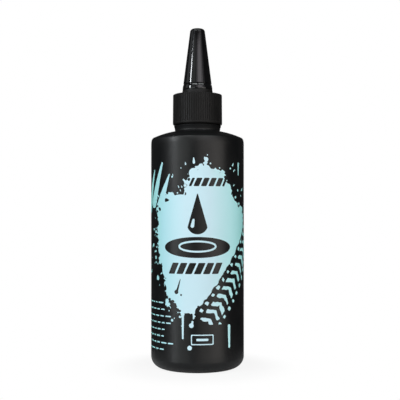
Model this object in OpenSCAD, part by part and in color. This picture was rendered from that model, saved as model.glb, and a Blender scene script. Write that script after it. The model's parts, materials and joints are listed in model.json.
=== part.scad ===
// Squeeze bottle for chain oil: a blown bottle with a threaded neck, a ribbed
// screw closure moulded in one with its dripper nozzle, a sealing washer and a
// conical overcap that plugs the nozzle. The origin is the middle of the base,
// +Z runs up the bottle's axis, and all sizes are in millimetres.

/* [Bottle body] */
// Outside diameter of the body
body_d = 42; // [36:0.5:52]
// Height of the straight wall, from the base to the shoulder's corner
body_h = 101.8; // [70:0.2:140]
// Wall of the blown body
body_wall = 0.9; // [0.7:0.05:1.3]
// Radius of the heel, between the wall and the base
heel_r = 5.2; // [3:0.1:7]
// Width of the flat ring that the bottle stands on
standing_ring_w = 1.3; // [0.8:0.1:2]
// Height of the push-up in the middle of the base
push_up_h = 2.2; // [1:0.1:4]
// Length of the pinch-off seam across the push-up
seam_l = 22; // [12:1:24]
// Width of the seam
seam_w = 0.5; // [0.3:0.05:0.8]
// How far the seam stands out of the push-up
seam_h = 0.25; // [0.1:0.05:0.4]
// Radius of the shoulder's corner
shoulder_r = 1.4; // [1.2:0.1:3]
// Slope of the shoulder where it leaves its corner, in degrees
shoulder_slope = 25; // [18:1:34]
// Radius of the shallow dome of the shoulder
dome_r = 38; // [30:1:60]

/* [Neck finish] */
// Diameter over the neck's thread
thread_d = 19.6; // [17.6:0.1:24]
// Height of the thread above the neck's wall
thread_depth = 1; // [0.8:0.05:1.2]
// Rise of the thread in one turn
thread_pitch = 3.175; // [2.9:0.025:3.6]
// Length of the neck's thread, in turns
neck_turns = 1.5; // [1:0.25:2]
// Wall of the neck, inside its thread
neck_wall = 1.2; // [1:0.05:1.6]
// Height of the finish, from the neck ring to the sealing land
finish_h = 11.7; // [10:0.1:15]
// How far the neck ring stands out past the thread
ring_overhang = 0.8; // [0.4:0.05:1]
// Height of the neck ring
ring_h = 0.4; // [0.35:0.05:1.4]
// How far the neck's waist is set in from the ring
ring_step = 0.4; // [0.3:0.05:0.5]
// Radius between the waist and the shoulder
root_r = 0.5; // [0.4:0.1:2]
// Radius of the flare from the waist up to the ring
flare_r = 4.6; // [3:0.1:5]
// How far the flare turns outwards, in degrees
flare_turn = 22; // [16:1:23]

/* [Closure] */
// Wall of the skirt, to the crests of its ribs
skirt_wall = 1.15; // [0.95:0.05:1.6]
// Draft of the skirt, on the radius from its rim to its top
skirt_draft = 0.09; // [0:0.01:0.2]
// Number of grip ribs
rib_count = 72; // [48:1:90]
// Depth of the valleys between the ribs
rib_depth = 0.32; // [0.2:0.02:0.4]
// Height of the plain rim under the ribs
rim_h = 1; // [0.6:0.1:2]
// Radius of the rim's lower edge
rim_edge_r = 0.8; // [0.3:0.1:0.9]
// Bevel round the top of the skirt
top_bevel = 0.3; // [0.2:0.05:0.6]
// Thickness of the closure's top
top_t = 1.4; // [1:0.1:2]
// Gap between the skirt's rim and the neck ring
skirt_gap = 0.35; // [0.3:0.05:1]
// Radial gap between the neck's thread and the skirt
thread_gap = 0.2; // [0.15:0.05:0.4]
// Length of the closure's thread, in turns
closure_turns = 1.25; // [1:0.25:1.5]

/* [Washer] */
// Thickness of the sealing washer
washer_t = 1; // [0.8:0.1:1.5]
// Hole in the washer
washer_hole_d = 9; // [7:0.5:11]

/* [Nozzle] */
// Height of the plain collar that the overcap stands on
collar_h = 2.1; // [1.5:0.05:4]
// Height of the spigot inside the overcap
spigot_h = 5; // [4:0.1:7]
// Height of the nozzle above its spigot
nozzle_h = 19.55; // [14:0.05:26]
// Diameter of the nozzle at its root
nozzle_root_d = 8.6; // [7:0.1:9.4]
// Diameter of the nozzle at its tip
nozzle_tip_d = 3.2; // [2.8:0.1:4]
// Hole at the nozzle's tip
orifice_d = 1.5; // [1:0.1:2]
// Length of the straight hole at the tip
orifice_l = 4; // [2:0.2:6]
// Diameter of the tapered passage where it starts, under the closure
passage_d = 6.4; // [4:0.1:6.8]

/* [Overcap] */
// Diameter of the cone where it meets the closure's top
cone_d = 14.1; // [13.5:0.1:17]
// Diameter of the cone at its top
cone_top_d = 6.4; // [5.8:0.1:8]
// Thickness of the overcap's closed end
cap_end_t = 2.2; // [1.8:0.1:4]
// Radius round the top of the cone
cone_edge_r = 1.4; // [0.8:0.1:2]
// Wall of the overcap
cap_wall = 1.15; // [0.9:0.05:1.3]
// Height of the rim below the groove
cap_rim_h = 2.25; // [1.2:0.05:3]
// How far the rim's side bulges
cap_rim_bulge = 0.08; // [0:0.02:0.2]
// Width of the groove above the rim
groove_w = 0.65; // [0.3:0.05:0.8]
// Depth of the groove
groove_depth = 0.3; // [0.15:0.05:0.35]
// Length of the pin that closes the orifice, below the nozzle's tip
pin_entry = 1.2; // [0.6:0.1:2]
// Gap between the overcap's end and the nozzle's tip
end_gap = 1.1; // [0.6:0.1:2]

/* [Fits] */
// Radial clearance of the overcap's socket on the spigot
socket_fit = 0.04; // [0.02:0.01:0.1]
// Radial clearance of the pin in the orifice
pin_fit = 0.06; // [0.03:0.01:0.1]
// Radial clearance of the washer in the skirt
washer_fit = 0.25; // [0.1:0.05:0.5]
// Axial clearance between the flanks of the two threads
thread_play = 0.1; // [0.05:0.05:0.3]

/* [Hidden] */
$fn = 96;
arc_step = 6;
arc_least = 5;
cut = 1;

black_body = [0.055, 0.057, 0.06];
black_closure = [0.085, 0.083, 0.083];
black_cap = [0.03, 0.03, 0.033];
washer_white = [0.87, 0.86, 0.83];

// Bottle
body_r = body_d / 2;
base_wall = body_wall + 0.2;
inner_corner_least = 0.3;
inner_heel_end = -75;
ring_out_x = body_r - heel_r;
ring_in_x = ring_out_x - standing_ring_w;
push_up_r = (pow(ring_in_x, 2) + pow(push_up_h, 2)) / (2 * push_up_h);
push_up_c = [0, push_up_h - push_up_r];
push_up_angle = asin(ring_in_x / push_up_r);

// Centre of the shoulder's dome, which leaves the corner without a kink
dome_c = [body_r - shoulder_r, body_h]
    - (dome_r - shoulder_r) * [sin(shoulder_slope), cos(shoulder_slope)];

// Neck, from the shoulder up
thread_r = thread_d / 2;
finish_r = thread_r - thread_depth;
bore_r = finish_r - neck_wall;
bore_root_r = 2.2;
ring_r = thread_r + ring_overhang;
ring_edge = 0.15;
waist_r = ring_r - ring_step;
land_bevel = 0.3;
root_z = fillet_centre_z(dome_c, dome_r, waist_r, root_r);
ring_z = root_z + flare_r * sin(flare_turn);
ring_top_z = ring_z + ring_h;
land_z = ring_top_z + finish_h;

// Closure
skirt_r = thread_r + thread_gap;
rim_r = skirt_r + skirt_wall;
crest_r = rim_r - skirt_draft;
skirt_z = ring_top_z + skirt_gap;
skirt_lead_in = 0.35;
seat_z = land_z + washer_t;
top_z = seat_z + top_t;
rib_crest_share = 0.4;
rib_foot_share = 0.68;

// Threads: half widths of a ridge at its foot and its crest, the angle over
// which its ends run out, the angle between its rings and how deep it is rooted
ridge_foot_w = 0.95;
ridge_crest_w = 0.45;
skirt_ridge_r = skirt_r - (thread_depth - thread_play);
skirt_ridge_foot_w = 0.75;
skirt_ridge_crest_w = 0.35;
ridge_fade = 42;
ridge_step = 6;
ridge_sink = 0.2;
ridge_end_share = 0.3;
thread_lead_in = 1.6;
closure_lead_in = 24;

// Height of the neck's helix at angle 0, and of the closure's, which bears
// on the underside of the neck's ridge
neck_helix_z = land_z - thread_lead_in - thread_pitch * neck_turns;
flank_contact = max(
    neck_half_w(skirt_ridge_r) + skirt_ridge_crest_w,
    ridge_crest_w + skirt_half_w(thread_r)
);
closure_helix_z = neck_helix_z - flank_contact - thread_play;
closure_helix_end = 360 * neck_turns - closure_lead_in;

// Nozzle and overcap, which share one straight cone with the collar
collar_z = top_z + collar_h;
spigot_z = collar_z + spigot_h;
tip_z = spigot_z + nozzle_h;
cap_end_z = tip_z + end_gap;
apex_z = cap_end_z + cap_end_t;
cone_lean = atan((cone_d - cone_top_d) / 2 / (apex_z - top_z));
spigot_r = cone_r(collar_z) - cap_wall - socket_fit;
spigot_taper = 0.12;
orifice_r = orifice_d / 2;
tip_bevel = 0.3;
socket_r = spigot_r + socket_fit;
socket_end_z = spigot_z + 1;
socket_lead_in = 0.3;
cap_edge = 0.15;
groove_z = collar_z + cap_rim_h;
groove_floor_share = 0.15;
pin_r = orifice_r - pin_fit;
pin_end_z = tip_z - pin_entry;
pin_bevel = [0.15, 0.3];

function arc(c, r, from, to) =
    let (n = max(arc_least, ceil(abs(to - from) / arc_step)))
    [for (i = [0:n]) let (a = from + (to - from) * i / n) c + r * [cos(a), sin(a)]];

// Points from a to b that bulge to the right of that line by h at the middle
function bulged(a, b, h) =
    let (along = b - a, out = [along[1], -along[0]] / norm(along))
    [for (i = [0:arc_least]) let (t = i / arc_least) a + along * t + out * h * 4 * t * (1 - t)];

function reversed(list) = [for (i = [len(list) - 1:-1:0]) list[i]];

// Height of the centre of a fillet that joins a dome to an upright wall
function fillet_centre_z(c, r, wall_x, fillet_r) =
    c[1] + sqrt(pow(r + fillet_r, 2) - pow(wall_x + fillet_r - c[0], 2));

// Half widths of the two ridges at a radius between the neck and the skirt
function neck_half_w(r) =
    ridge_crest_w + (ridge_foot_w - ridge_crest_w) * (thread_r - r) / thread_depth;
function skirt_half_w(r) =
    skirt_ridge_crest_w
    + (skirt_ridge_foot_w - skirt_ridge_crest_w) * (r - skirt_ridge_r) / (skirt_r - skirt_ridge_r);

// Radius of the cone's outside at a height
function cone_r(z) = cone_d / 2 - (z - top_z) * tan(cone_lean);

// One ridge of a thread: a helical bar whose ends run out into the wall.
// foot_r is where the ridge springs from, and crest_r where it ends.
module ridge(foot_r, crest_r, foot_w, crest_w, start_z, from, to) {
    out = crest_r > foot_r ? 1 : -1;
    buried_r = foot_r - out * ridge_sink;
    angles = [for (a = [from:ridge_step:to]) a];
    n = len(angles);
    function ring(a) =
        let (
            h = max(0, min(1, (a - from) / ridge_fade, (to - a) / ridge_fade)),
            z = start_z + thread_pitch * a / 360,
            r = foot_r + (crest_r - foot_r) * h - out * ridge_sink * (1 - h) / 2,
            w = crest_w * (ridge_end_share + (1 - ridge_end_share) * h)
        )
        [for (p = [
            [buried_r, -foot_w], [r, -w], [r, w], [buried_r, foot_w]
        ]) [p[0] * cos(a), p[0] * sin(a), z + p[1]]];
    sides = [for (i = [0:n - 2], k = [0:3])
        let (a = 4 * i + k, b = 4 * i + (k + 1) % 4)
        out > 0 ? [a, b, b + 4, a + 4] : [a, a + 4, b + 4, b]];
    ends = out > 0
        ? [[3, 2, 1, 0], [4 * n - 4, 4 * n - 3, 4 * n - 2, 4 * n - 1]]
        : [[0, 1, 2, 3], [4 * n - 1, 4 * n - 2, 4 * n - 3, 4 * n - 4]];
    polyhedron([for (a = angles) each ring(a)], concat(sides, ends), convexity = 6);
}

// Base, with a push-up inside the ring that the bottle stands on
function base_outside() = concat(
    arc(push_up_c, push_up_r, 90, 90 - push_up_angle),
    arc([ring_out_x, heel_r], heel_r, -90, 0)
);

function base_inside() =
    let (
        r = push_up_r + base_wall,
        floor_x = sqrt(pow(r, 2) - pow(base_wall - push_up_c[1], 2)),
        floor_angle = asin(floor_x / r)
    )
    concat(
        arc([ring_out_x, heel_r], heel_r - body_wall, 0, inner_heel_end),
        arc(push_up_c, r, 90 - floor_angle, 90)
    );

// Side of the shoulder, from the upright wall to the neck: a corner, the dome
// and a fillet. offset is 0 outside, and the wall's thickness inside.
function shoulder(offset, neck_r, fillet_r) =
    let (
        r = dome_r - offset,
        corner_r = max(inner_corner_least, shoulder_r - offset),
        corner_x = body_r - offset - corner_r,
        corner_z = dome_c[1] + sqrt(pow(r - corner_r, 2) - pow(corner_x - dome_c[0], 2)),
        corner_end = atan2(corner_z - dome_c[1], corner_x - dome_c[0]),
        fillet_x = neck_r + fillet_r,
        fillet_z = fillet_centre_z(dome_c, r, neck_r, fillet_r),
        dome_end = atan2(fillet_z - dome_c[1], fillet_x - dome_c[0])
    )
    concat(
        arc([corner_x, corner_z], corner_r, 0, corner_end),
        arc(dome_c, r, corner_end + 1, dome_end - 1),
        arc([fillet_x, fillet_z], fillet_r, dome_end + 180, 180)
    );

// The flare above the waist, the ring, and the finish up to its land
function neck_outside() =
    let (
        first_turn = flare_turn / arc_least,
        flare_c = [waist_r + flare_r, root_z]
    )
    concat(
        arc(flare_c, flare_r, 180 - first_turn, 180 - flare_turn),
        [
            [ring_r, ring_z + ring_edge],
            [ring_r, ring_top_z - ring_edge],
            [ring_r - ring_edge, ring_top_z],
            [finish_r, ring_top_z],
            [finish_r, land_z - land_bevel],
            [finish_r - land_bevel, land_z],
            [bore_r + land_bevel, land_z],
            [bore_r, land_z - land_bevel]
        ]
    );

// The weld that the mould leaves where it pinches the parison shut
module pinch_off_seam() {
    end = 90 - asin(seam_l / 2 / push_up_r);
    intersection() {
        rotate_extrude() polygon(concat(
            arc(push_up_c, push_up_r - seam_h, 90, end),
            arc(push_up_c, push_up_r + base_wall / 2, end, 90)
        ));
        translate([-seam_l / 2, -seam_w / 2, 0]) cube([seam_l, seam_w, push_up_h + base_wall]);
    }
}

module bottle() {
    outline = concat(
        base_outside(),
        shoulder(0, waist_r, root_r),
        neck_outside(),
        reversed(shoulder(body_wall, bore_r, bore_root_r)),
        base_inside()
    );
    color(black_body) union() {
        rotate_extrude() polygon(outline);
        ridge(finish_r, thread_r, ridge_foot_w, ridge_crest_w, neck_helix_z, 0, 360 * neck_turns);
        pinch_off_seam();
    }
}

module sealing_washer() {
    color(washer_white) translate([0, 0, land_z]) difference() {
        cylinder(r = skirt_r - washer_fit, h = washer_t);
        translate([0, 0, -cut]) cylinder(d = washer_hole_d, h = washer_t + 2 * cut);
    }
}

// The skirt's outline with its ribs, which stand past the crests so that
// the envelope can trim them to the draft
module rib_outline() {
    pitch = 360 / rib_count;
    foot = [rim_r - rib_depth, rib_foot_share / 2];
    peak = [rim_r + rib_depth, rib_crest_share / 2];
    corners = [[foot[0], -foot[1]], [peak[0], -peak[1]], peak, foot];
    polygon([for (i = [0:rib_count - 1], c = corners)
        let (a = (i + c[1]) * pitch) c[0] * [cos(a), sin(a)]]);
}

module skirt_envelope() {
    rotate_extrude() polygon(concat(
        [[0, skirt_z]],
        arc([rim_r - rim_edge_r, skirt_z + rim_edge_r], rim_edge_r, -90, 0),
        [[crest_r, top_z - top_bevel], [crest_r - top_bevel, top_z], [0, top_z]]
    ));
}

module ribbed_skirt() {
    intersection() {
        union() {
            translate([0, 0, skirt_z]) cylinder(r = rim_r + rib_depth, h = rim_h);
            translate([0, 0, skirt_z]) linear_extrude(top_z - skirt_z) rib_outline();
        }
        skirt_envelope();
    }
}

// Collar, spigot and nozzle: one turned form on the closure's top
module spout() {
    rotate_extrude() polygon([
        [0, top_z - top_t / 2],
        [cone_r(top_z), top_z - top_t / 2],
        [cone_r(top_z), top_z],
        [cone_r(collar_z), collar_z],
        [spigot_r, collar_z],
        [spigot_r - spigot_taper, spigot_z - tip_bevel],
        [spigot_r - spigot_taper - tip_bevel, spigot_z],
        [nozzle_root_d / 2, spigot_z],
        [nozzle_tip_d / 2, tip_z - tip_bevel],
        [nozzle_tip_d / 2 - tip_bevel, tip_z],
        [0, tip_z]
    ]);
}

// What the neck and the oil take out of the closure
module closure_hollow() {
    rotate_extrude() polygon([
        [0, skirt_z - cut],
        [skirt_r + skirt_lead_in, skirt_z - cut],
        [skirt_r + skirt_lead_in, skirt_z],
        [skirt_r, skirt_z + skirt_lead_in],
        [skirt_r, seat_z],
        [passage_d / 2, seat_z],
        [orifice_r, tip_z - orifice_l],
        [orifice_r, tip_z + cut],
        [0, tip_z + cut]
    ]);
}

module nozzle_closure() {
    color(black_closure) union() {
        difference() {
            union() {
                ribbed_skirt();
                spout();
            }
            closure_hollow();
        }
        ridge(skirt_r, skirt_ridge_r, skirt_ridge_foot_w, skirt_ridge_crest_w,
            closure_helix_z, closure_helix_end - 360 * closure_turns, closure_helix_end);
    }
}

// Outside of the overcap: a bulged rim, a groove and the cone
function cap_outside() =
    let (
        groove_r = cone_r(groove_z) - groove_depth,
        groove_bevel = groove_w * (1 - groove_floor_share) / 2,
        rim_foot = [cone_r(collar_z + cap_edge), collar_z + cap_edge],
        top_c = [cone_top_d / 2 - cone_edge_r, apex_z - cone_edge_r]
    )
    concat(
        [[cone_r(collar_z) - cap_edge, collar_z]],
        bulged(rim_foot, [cone_r(groove_z), groove_z], cap_rim_bulge),
        [
            [groove_r, groove_z + groove_bevel],
            [groove_r, groove_z + groove_w - groove_bevel],
            [cone_r(groove_z + groove_w), groove_z + groove_w]
        ],
        arc(top_c, cone_edge_r, cone_lean, 90),
        [[0, apex_z]]
    );

// Inside of the overcap: the pin, the hollow over the nozzle and the socket
function cap_inside() = [
    [0, pin_end_z],
    [pin_r - pin_bevel[0], pin_end_z],
    [pin_r, pin_end_z + pin_bevel[1]],
    [pin_r, cap_end_z],
    [cone_r(cap_end_z) - cap_wall, cap_end_z],
    [cone_r(socket_end_z) - cap_wall, socket_end_z],
    [socket_r - spigot_taper, spigot_z],
    [socket_r, collar_z + socket_lead_in],
    [socket_r + socket_lead_in, collar_z]
];

module overcap() {
    color(black_cap) rotate_extrude() polygon(concat(cap_outside(), cap_inside()));
}

bottle();
sealing_washer();
nozzle_closure();
overcap();
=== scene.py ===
"""The looks of a squeeze bottle for chain oil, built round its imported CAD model.

The bottle, its ribbed closure with the dripper nozzle, the sealing washer and the
conical overcap are built as smooth meshes in the places of their CAD nodes, and the
print on the wall is a film of ink. All sizes are in millimetres, and MM turns them
into Blender's metres. The axis of the bottle is +Z, and the viewer stands at -Y.
"""

import json
import logging
import math
from collections.abc import Callable, Iterator, Sequence
from dataclasses import dataclass, field
from enum import Enum
from functools import reduce

import bmesh
import bpy
import numpy as np
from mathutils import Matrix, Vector

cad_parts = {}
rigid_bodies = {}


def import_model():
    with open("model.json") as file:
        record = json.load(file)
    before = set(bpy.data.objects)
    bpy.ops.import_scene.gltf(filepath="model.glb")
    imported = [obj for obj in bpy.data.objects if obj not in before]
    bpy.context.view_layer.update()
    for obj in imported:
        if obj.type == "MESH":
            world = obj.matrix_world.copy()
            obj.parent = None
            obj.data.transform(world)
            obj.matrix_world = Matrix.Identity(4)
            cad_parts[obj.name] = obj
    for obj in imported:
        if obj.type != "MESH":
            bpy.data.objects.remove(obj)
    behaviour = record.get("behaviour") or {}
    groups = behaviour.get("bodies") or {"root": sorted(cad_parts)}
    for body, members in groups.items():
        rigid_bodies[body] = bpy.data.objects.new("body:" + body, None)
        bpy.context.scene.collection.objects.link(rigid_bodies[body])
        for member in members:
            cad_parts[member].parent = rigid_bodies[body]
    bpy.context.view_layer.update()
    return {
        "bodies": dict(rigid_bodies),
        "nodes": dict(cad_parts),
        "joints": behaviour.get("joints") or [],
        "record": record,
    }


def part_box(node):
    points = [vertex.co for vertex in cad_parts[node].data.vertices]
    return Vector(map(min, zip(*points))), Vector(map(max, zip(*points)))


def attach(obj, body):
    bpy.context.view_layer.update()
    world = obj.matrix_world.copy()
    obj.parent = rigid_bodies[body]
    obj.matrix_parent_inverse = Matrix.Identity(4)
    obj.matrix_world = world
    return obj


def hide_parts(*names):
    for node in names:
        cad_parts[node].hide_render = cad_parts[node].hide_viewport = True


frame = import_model()

MM = 0.001
FULL_TURN = 360.0
TINY = 1e-6
FILLET_SHARE = 0.49

Array = np.ndarray
Point = tuple[float, float]
Corner = tuple[float, float, float]
Colour = tuple[float, float, float]
Field = Callable[[Array, Array], Array]
Socket = bpy.types.NodeSocket

log = logging.getLogger("scene")


class Body(Enum):
    """The CAD bodies that the pieces ride on."""

    BOTTLE = "bottle"
    WASHER = "washer"
    CLOSURE = "closure"
    OVERCAP = "overcap"


class Node(Enum):
    """The CAD nodes that the pieces stand for."""

    BOTTLE = "bottle"
    WASHER = "sealing_washer"
    CLOSURE = "nozzle_closure"
    OVERCAP = "overcap"


class Slot(Enum):
    """The record's material slots."""

    BOTTLE = "bottle_black"
    WASHER = "washer_foam"
    CLOSURE = "closure_black"
    OVERCAP = "overcap_black"
    INK = "print_ink"


class Ends(Enum):
    """How the two ends of a skin over rings are finished."""

    POLES = "poles"
    CAPS = "caps"
    LOOP = "loop"


class Tint(Enum):
    """The colours of the studio's lamps."""

    ICE = (0.86, 0.92, 1.0)
    COOL = (0.93, 0.97, 1.0)
    AQUA = (0.95, 1.0, 1.0)
    MINT = (0.95, 1.0, 0.98)
    ROSE = (1.0, 0.95, 1.0)
    WARM = (1.0, 0.95, 0.9)


def pairs(items: Sequence) -> Iterator[tuple]:
    """Each item with the next one, and the last with the first."""
    return zip(items, [*items[1:], items[0]])


def arc(centre: Point, radius: float, start: float, end: float, step: float = 6) -> list[Point]:
    """Points along an arc in the plane of radius and height.

    Args:
        centre: Centre of the arc.
        radius: Radius of the arc.
        start: Angle of the first point, in degrees.
        end: Angle of the last point.
        step: Largest angle between two points.

    Returns:
        The points, from start to end.
    """
    count = max(4, math.ceil(abs(end - start) / step))
    angles = np.radians(np.linspace(start, end, count + 1))
    return [(centre[0] + radius * math.cos(a), centre[1] + radius * math.sin(a)) for a in angles]


def plain(points: Sequence[Point]) -> list[Corner]:
    """Corners without a fillet."""
    return [(x, z, 0.0) for x, z in points]


def rounded(corners: Sequence[Corner], step: float = 12) -> list[Point]:
    """An outline with its corners rounded off.

    Args:
        corners: Radius, height and fillet of each corner. The two ends stay sharp.
        step: Largest angle between two points of a fillet.

    Returns:
        The points of the outline.
    """
    least_turn = math.radians(1)
    outline = [corners[0][:2]]
    for before, corner, after in zip(corners, corners[1:], corners[2:]):
        here = np.array(corner[:2])
        back, ahead = np.array(before[:2]) - here, np.array(after[:2]) - here
        reach = min(np.linalg.norm(back), np.linalg.norm(ahead)) * FILLET_SHARE
        back, ahead = back / np.linalg.norm(back), ahead / np.linalg.norm(ahead)
        turn = math.pi - math.acos(float(np.clip(back @ ahead, -1, 1)))
        if corner[2] <= 0 or turn < least_turn:
            outline.append(tuple(here))
            continue
        tangent = min(corner[2] * math.tan(turn / 2), reach)
        radius = tangent / math.tan(turn / 2)
        middle = (back + ahead) / np.linalg.norm(back + ahead)
        centre = here + middle * radius / math.cos(turn / 2)
        count = max(2, math.ceil(math.degrees(turn) / step))
        first = here + back * tangent - centre
        side = 1 if first[0] * (ahead - back)[1] - first[1] * (ahead - back)[0] > 0 else -1
        start = math.atan2(first[1], first[0])
        for i in range(count + 1):
            a = start + side * turn * i / count
            outline.append((centre[0] + radius * math.cos(a), centre[1] + radius * math.sin(a)))
    outline.append(corners[-1][:2])
    return outline


def around(count: int) -> Array:
    """Angles of count points round the axis, in degrees."""
    return np.arange(count) * FULL_TURN / count


def ring(radius: float | Array, height: float | Array, angles: Array) -> Array:
    """Points round the axis, or the one point of a pole where the radius is 0.

    Args:
        radius: Radius of all points, or of each.
        height: Height of all points, or of each.
        angles: Angle of each point, in degrees.

    Returns:
        The points, one in each row.
    """
    if np.isscalar(radius) and radius < TINY:
        return np.array([[0.0, 0.0, height]])
    a = np.radians(angles)
    r, z = np.broadcast_to(radius, a.shape), np.broadcast_to(height, a.shape)
    return np.column_stack((r * np.cos(a), r * np.sin(a), z))


def ease(share: float | Array) -> float | Array:
    """A smooth step from 0 to 1."""
    t = np.clip(share, 0, 1)
    return t * t * (3 - 2 * t)


@dataclass
class Skin:
    """A mesh in the making, laid over rings of points."""

    points: list[Array] = field(default_factory=list)
    faces: list[tuple[int, ...]] = field(default_factory=list)
    size: int = 0

    def add(self, ring_points: Array) -> range:
        """Adds the points of one ring.

        Args:
            ring_points: The points, one in each row.

        Returns:
            Their numbers.
        """
        self.points.append(ring_points)
        self.size += len(ring_points)
        return range(self.size - len(ring_points), self.size)

    def bridge(self, one: range, other: range) -> None:
        """Joins two rings. One of them may be a pole, or have a multiple of the other's points.

        Args:
            one: Numbers of the first ring's points.
            other: Numbers of the second ring's points.
        """
        few, many = sorted((one, other), key=len)
        if len(few) == 1:
            self.faces += [(few[0], a, b) for a, b in pairs(many)]
            return
        share = len(many) // len(few)
        for i in range(len(few)):
            edge = [many[k % len(many)] for k in range(i * share, (i + 1) * share + 1)]
            self.faces.append((few[(i + 1) % len(few)], few[i], *edge))

    def cover(self, rings: Sequence[Array], ends: Ends = Ends.POLES) -> None:
        """Lays a skin over rings.

        Args:
            rings: Points of each ring, in order.
            ends: What closes the skin.
        """
        numbers = [self.add(points) for points in rings]
        for one, other in zip(numbers, numbers[1:]):
            self.bridge(one, other)
        if ends is Ends.LOOP:
            self.bridge(numbers[-1], numbers[0])
        if ends is Ends.CAPS:
            self.faces += [tuple(numbers[0]), tuple(numbers[-1])]

    def lathe(self, outline: Sequence[Point], angles: Array, ends: Ends = Ends.POLES) -> None:
        """Turns an outline round the axis."""
        self.cover([ring(float(r), float(z), angles) for r, z in outline], ends)

    def mesh(self, name: str) -> bpy.types.Mesh:
        """Makes the Blender mesh, with its faces outwards, in metres.

        Args:
            name: Name of the mesh.

        Returns:
            The mesh.
        """
        mesh = bpy.data.meshes.new(name)
        mesh.from_pydata((np.vstack(self.points) * MM).tolist(), [], self.faces)
        work = bmesh.new()
        work.from_mesh(mesh)
        bmesh.ops.recalc_face_normals(work, faces=work.faces)
        work.to_mesh(mesh)
        work.free()
        return mesh


@dataclass(frozen=True)
class Helix:
    """One ridge of a screw thread: a bar along a helix, whose ends run out into the wall."""

    foot_r: float
    crest_r: float
    foot_w: float
    crest_w: float
    start_z: float
    pitch: float
    start: float
    end: float
    fade: float = 42
    step: float = 4
    sink: float = 0.2
    fillet: float = 0.12

    def rings(self) -> list[Array]:
        """Sections of the ridge along its helix.

        Returns:
            The points of each section.
        """
        depth = abs(self.crest_r - self.foot_r)
        out = math.copysign(1, self.crest_r - self.foot_r)
        section = np.array(rounded([
            (-self.sink, -self.foot_w, 0),
            (0, -self.foot_w, self.fillet),
            (depth, -self.crest_w, self.fillet),
            (depth, self.crest_w, self.fillet),
            (0, self.foot_w, self.fillet),
            (-self.sink, self.foot_w, 0),
        ], step=20))
        made = []
        for angle in np.arange(self.start, self.end + self.step / 2, self.step):
            height = ease(min(1, (angle - self.start) / self.fade, (self.end - angle) / self.fade))
            rise = section[:, 0] * height - self.sink / 2 * (1 - height)
            r = self.foot_r + out * np.where(section[:, 0] < 0, section[:, 0], rise)
            z = self.start_z + self.pitch * angle / FULL_TURN + section[:, 1]
            made.append(ring(r, z, np.full(len(r), angle)))
        return made


@dataclass(frozen=True)
class CadSizes:
    """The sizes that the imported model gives, in millimetres."""

    body_r: float
    heel_top_z: float
    shoulder_z: float
    land_z: float
    washer_r: float
    seat_z: float
    rim_r: float
    skirt_z: float
    tip_z: float
    collar_z: float
    apex_z: float

    @classmethod
    def measured(cls, packed: dict) -> "CadSizes":
        """Reads the sizes from the nodes' boxes and the record's mounts.


        Returns:
            The sizes.
        """
        boxes = {node: [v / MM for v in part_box(node.value)] for node in Node}
        grip = next(m for m in packed["record"]["mounts"] if m["name"] == "body_grip")
        middle, half = grip["pos_m"][2] / MM, grip["dims"]["length_mm"] / 2
        return cls(
            body_r=boxes[Node.BOTTLE][1].x,
            heel_top_z=middle - half,
            shoulder_z=middle + half,
            land_z=boxes[Node.BOTTLE][1].z,
            washer_r=boxes[Node.WASHER][1].x,
            seat_z=boxes[Node.WASHER][1].z,
            rim_r=boxes[Node.CLOSURE][1].x,
            skirt_z=boxes[Node.CLOSURE][0].z,
            tip_z=boxes[Node.CLOSURE][1].z,
            collar_z=boxes[Node.OVERCAP][0].z,
            apex_z=boxes[Node.OVERCAP][1].z,
        )


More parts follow.
